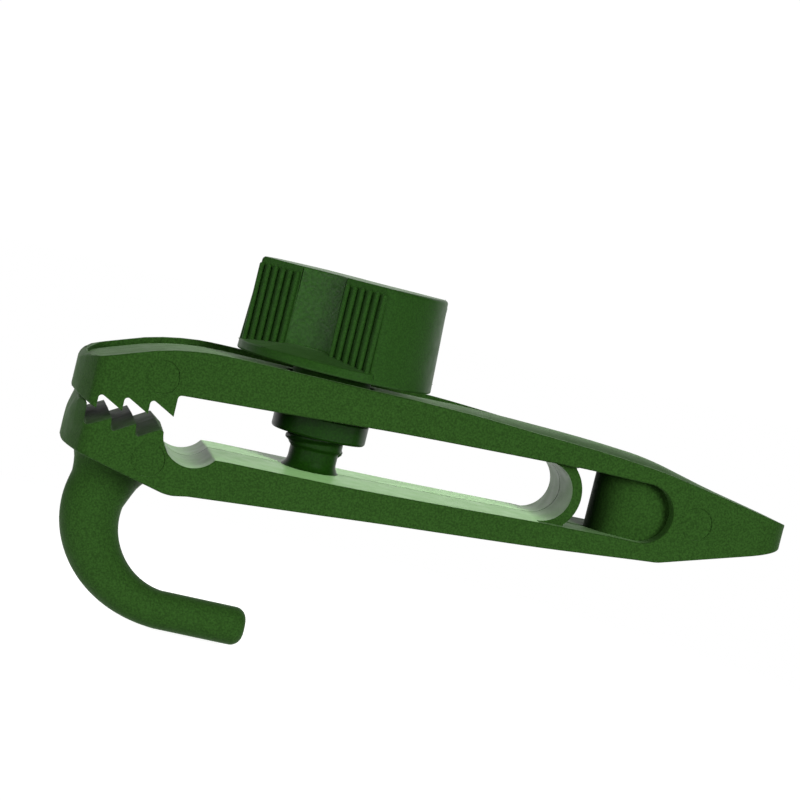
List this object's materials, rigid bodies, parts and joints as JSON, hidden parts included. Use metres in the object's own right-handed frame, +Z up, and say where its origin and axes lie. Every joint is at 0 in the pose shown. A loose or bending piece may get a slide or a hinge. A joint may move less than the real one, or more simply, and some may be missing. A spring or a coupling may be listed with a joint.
{
  "type": "tarp clip",
  "caption": "Screw-down tarp clip: two toothed jaws on one springy moulding, closed by a ribbed knob on a fixed stud, with a round hook under the lower jaw.",
  "frame": {"origin": "centre of the round cord cradle in the lower jaw, on the middle plane of the clip", "axes": "+X runs from the jaws to the tail, +Z runs up the stud to the knob, Y runs across the clip along the cradle's axis; the pictured side faces -Y"},
  "size_m": [0.1116, 0.0302, 0.0587],
  "materials": {
    "moulding": "fine-grained moulded dark green",
    "screw_parts": "satin moulded dark green"
  },
  "bodies": {
    "lower_body": {"lower_jaw": "moulding", "lower_arm": "moulding", "hook": "moulding", "threaded_stud": "moulding", "spring_web": "moulding", "tail_block": "moulding", "upper_rail": "moulding"},
    "upper_arm": {"upper_jaw": "moulding"},
    "collar": {"retaining_collar": "screw_parts"},
    "knob": {"knob": "screw_parts"}
  },
  "joints": [
    {"name": "knob_turn", "type": "hinge", "parent": "collar", "child": "knob", "pos_m": [0.0194, 0, 0.0131], "axis": [0, 0, 1], "range_deg": [-30, 385]},
    {"name": "collar_slide", "type": "slide", "parent": "lower_body", "child": "collar", "axis": [0, 0, 1], "range_m": [-0.00021, 0.00267]},
    {"name": "jaw_hinge", "type": "hinge", "parent": "lower_body", "child": "upper_arm", "pos_m": [0.0503, 0, 0.0098], "axis": [0, 1, 0], "range_deg": [-0.39, 4.96]}
  ],
  "couplings": [
    {"joint": "collar_slide", "follows": "knob_turn", "m_per_rad": 0.00039789},
    {"joint": "jaw_hinge", "follows": "knob_turn", "ratio": 0.012877}
  ]
}
